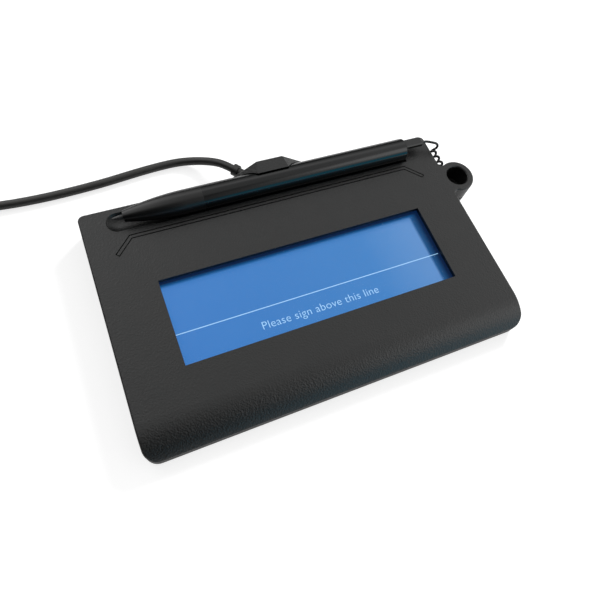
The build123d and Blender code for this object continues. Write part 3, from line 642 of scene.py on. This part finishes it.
# The four corners of a rectangle, counted round from the right rear
AROUND = ((1, 1), (-1, 1), (-1, -1), (1, -1))
# Two points whose heights differ by less than this, in metres, are level.
SAME_LEVEL = 1e-7

INK_FROM, INK_TO = 9.005, 9.02
LINE_MIDDLE = (0.3, -8.7)
LINE_LENGTH, LINE_WIDTH = 112.2, 0.34
LINE_CORNER, LINE_BEVEL = 0.05, 0.003

WORDS_MIDDLE = (-0.5, -17.0)
WORDS_HEIGHT = 4.55
WORDS_SPACING = 1.04
STROKES_THINNER = 0.045


def plate(name, low, high, corner, bevel):
    """A flat plate from one corner of its box to the other, its outline and edges rounded."""
    middle, half = (low + high) / 2, (high - low) / 2
    radius = corner * MM
    made = bmesh.new()
    ring = []
    for quarter, (to_right, to_rear) in enumerate(AROUND):
        for step in range(CORNER_STEPS + 1):
            turn = math.radians(90 * (quarter + step / CORNER_STEPS))
            x = middle.x + to_right * (half.x - radius) + radius * math.cos(turn)
            y = middle.y + to_rear * (half.y - radius) + radius * math.sin(turn)
            ring.append(made.verts.new((x, y, low.z)))
    grown = bmesh.ops.extrude_face_region(made, geom=[made.faces.new(ring)])
    top = [v for v in grown["geom"] if isinstance(v, bmesh.types.BMVert)]
    bmesh.ops.translate(made, verts=top, vec=(0, 0, high.z - low.z))
    bmesh.ops.recalc_face_normals(made, faces=made.faces)
    rim = [e for e in made.edges if abs(e.verts[0].co.z - e.verts[1].co.z) < SAME_LEVEL]
    bmesh.ops.bevel(made, geom=rim, offset=bevel * MM, segments=2, affect="EDGES")
    mesh = bpy.data.meshes.new(name)
    made.to_mesh(mesh)
    made.free()
    return added(name, mesh)


def lens_plate():
    """The lens, in the place of its CAD node, just clear of the display and the tape."""
    low, high = (Vector(corner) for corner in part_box("clear_lens"))
    low.z += LENS_GAP_BELOW * MM
    high.z -= LENS_GAP_ABOVE * MM
    return plate("lens", low, high, LENS_CORNER, LENS_BEVEL)


lens = lens_plate()
dress(lens, looks["lens"])
soften(lens)
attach(lens, "pad")
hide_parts("clear_lens")


def signing_line():
    """The thin line that is written on the display, from edge to edge of the window."""
    x, y = LINE_MIDDLE
    low = place(x - LINE_LENGTH / 2, y - LINE_WIDTH / 2, INK_FROM)
    high = place(x + LINE_LENGTH / 2, y + LINE_WIDTH / 2, INK_TO)
    return plate("signing_line", low, high, LINE_CORNER, LINE_BEVEL)


def prompt():
    """A generic line of words that asks for a signature, as flat letters on the display."""
    text = bpy.data.curves.new("prompt_text", "FONT")
    text.body = "Please sign above this line"
    text.size = WORDS_HEIGHT * MM
    text.space_character = WORDS_SPACING
    text.align_x = "CENTER"
    text.offset = -STROKES_THINNER * MM
    carrier = added("prompt_text", text)
    mesh = evaluated_mesh(carrier)
    mesh.transform(Matrix.Translation(place(*WORDS_MIDDLE, INK_TO)))
    bpy.data.objects.remove(carrier)
    return added("prompt", mesh)


display_words = display_ink()
for obj in (signing_line(), prompt()):
    dress(obj, display_words)
    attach(obj, "pad")


# Floor and light, in metres

FLOOR_REACH = 4.0
FLOOR_LEVEL = -0.00003
FLOOR_SEEN = 0.76
FLOOR_MIRRORED = 0.5


def floor():
    """A pale floor that glows for the camera, and less in what mirrors it."""
    mesh = bpy.data.meshes.new("floor")
    corners = [(x * FLOOR_REACH, y * FLOOR_REACH, FLOOR_LEVEL) for x, y in AROUND]
    mesh.from_pydata(corners, [], [(0, 1, 2, 3)])
    obj = added("floor", mesh)
    paint = Paint("floor_pale", (0.5, 0.5, 0.5), 0.9)
    paint.shiny(0.1)
    ray = paint.node("ShaderNodeLightPath").outputs
    mirrored = paint.maths("MAXIMUM", ray["Is Glossy Ray"], ray["Is Transmission Ray"])
    dimmed = paint.maths("MULTIPLY", mirrored, FLOOR_MIRRORED)
    glow = paint.maths("MULTIPLY_ADD", ray["Is Camera Ray"], FLOOR_SEEN, dimmed)
    paint.emit((1, 1, 1), glow)
    dress(obj, paint.material)


floor()


# The studio's parts: each has a direction, the cosines from it between which the light
# changes, and the light on the outside and on the inside of that.
OVERHEAD = ((0.05, 0.30, 0.95), (0.52, 0.99), (0.12, 1.7))
GAP = ((0.12, 0.10, 0.985), (0.86, 0.99), (1.0, 0.45))
FRONT_LEFT = ((-0.25, -0.95, 0.0), (0.02, 0.62), (1.0, 0.06))
REAR = ((0.25, 0.97, 0.0), (0.55, 0.80), (1.0, 0.65))
RIGHT = ((0.93, -0.32, 0.17), (0.32, 0.84), (0.0, 1.35))
WINDOW = ((-0.33, 0.75, 0.57), (0.90, 0.985), (0.0, 2.4))
WHITE_CARD = ((0.60, -0.52, 0.61), (0.93, 0.985), (0.0, 2.6))
TEAL_CARD = ((0.40, -0.91, 0.07), (0.925, 0.98), (0.0, 1.5))
TEAL = (0.08, 0.68, 1.0)
DULL_SHARE = 0.55


def world():
    """A studio that is bright round a gap overhead and at the right, and dim at the front left.

    Its rear is a little dimmer too, and a small window shines at the rear left. Glossy surfaces
    see it at full strength, and with two reflector cards in front: a small white one above,
    and a wide teal one near the desk. The camera sees at least plain white.
    """
    made = bpy.data.worlds.new("studio")
    studio = Shading(made)
    direction = studio.node("ShaderNodeTexCoord").outputs["Generated"]
    ray = studio.node("ShaderNodeLightPath").outputs

    def light(way, cosines, levels):
        along = studio.node("ShaderNodeVectorMath", operation="DOT_PRODUCT")
        studio.feed(direction, along.inputs[0])
        studio.feed(way, along.inputs[1])
        cosine = along.outputs["Value"]
        return studio.ranged(cosine, cosines, levels, interpolation_type="SMOOTHSTEP")

    def product(first, second):
        return studio.maths("MULTIPLY", first, second)

    def larger(first, second):
        return studio.maths("MAXIMUM", first, second)

    dome = light(*OVERHEAD)
    for part in (GAP, FRONT_LEFT, REAR):
        dome = product(dome, light(*part))
    for part in (RIGHT, WINDOW):
        dome = larger(dome, light(*part))
    dome = product(dome, studio.ranged(ray["Is Glossy Ray"], (0.0, 1.0), (DULL_SHARE, 1.0)))
    white_card = product(light(*WHITE_CARD), ray["Is Glossy Ray"])
    teal_card = product(light(*TEAL_CARD), ray["Is Glossy Ray"])
    lit = larger(larger(dome, white_card), teal_card)
    background = studio.tree.nodes["Background"].inputs
    studio.feed(larger(lit, ray["Is Camera Ray"]), background["Strength"])
    studio.feed(studio.mix(teal_card, (1.0, 1.0, 1.0), TEAL), background["Color"])
    scene.world = made


world()


KEY_AT = (0.64, 0.50, 0.52)
KEY_SIZE = 0.24
KEY_POWER = 8.0


def key_light():
    """A square lamp at the right rear that no surface mirrors, aimed at the pad."""
    data = bpy.data.lights.new("key", "AREA")
    data.shape = "RECTANGLE"
    data.size = KEY_SIZE
    data.size_y = KEY_SIZE
    data.energy = KEY_POWER
    obj = added("key", data)
    obj.location = KEY_AT
    obj.rotation_mode = "QUATERNION"
    obj.rotation_quaternion = (-Vector(KEY_AT)).to_track_quat("-Z", "Y")
    obj.visible_glossy = False


key_light()

scene.view_settings.view_transform = "Standard"

bpy.context.view_layer.update()
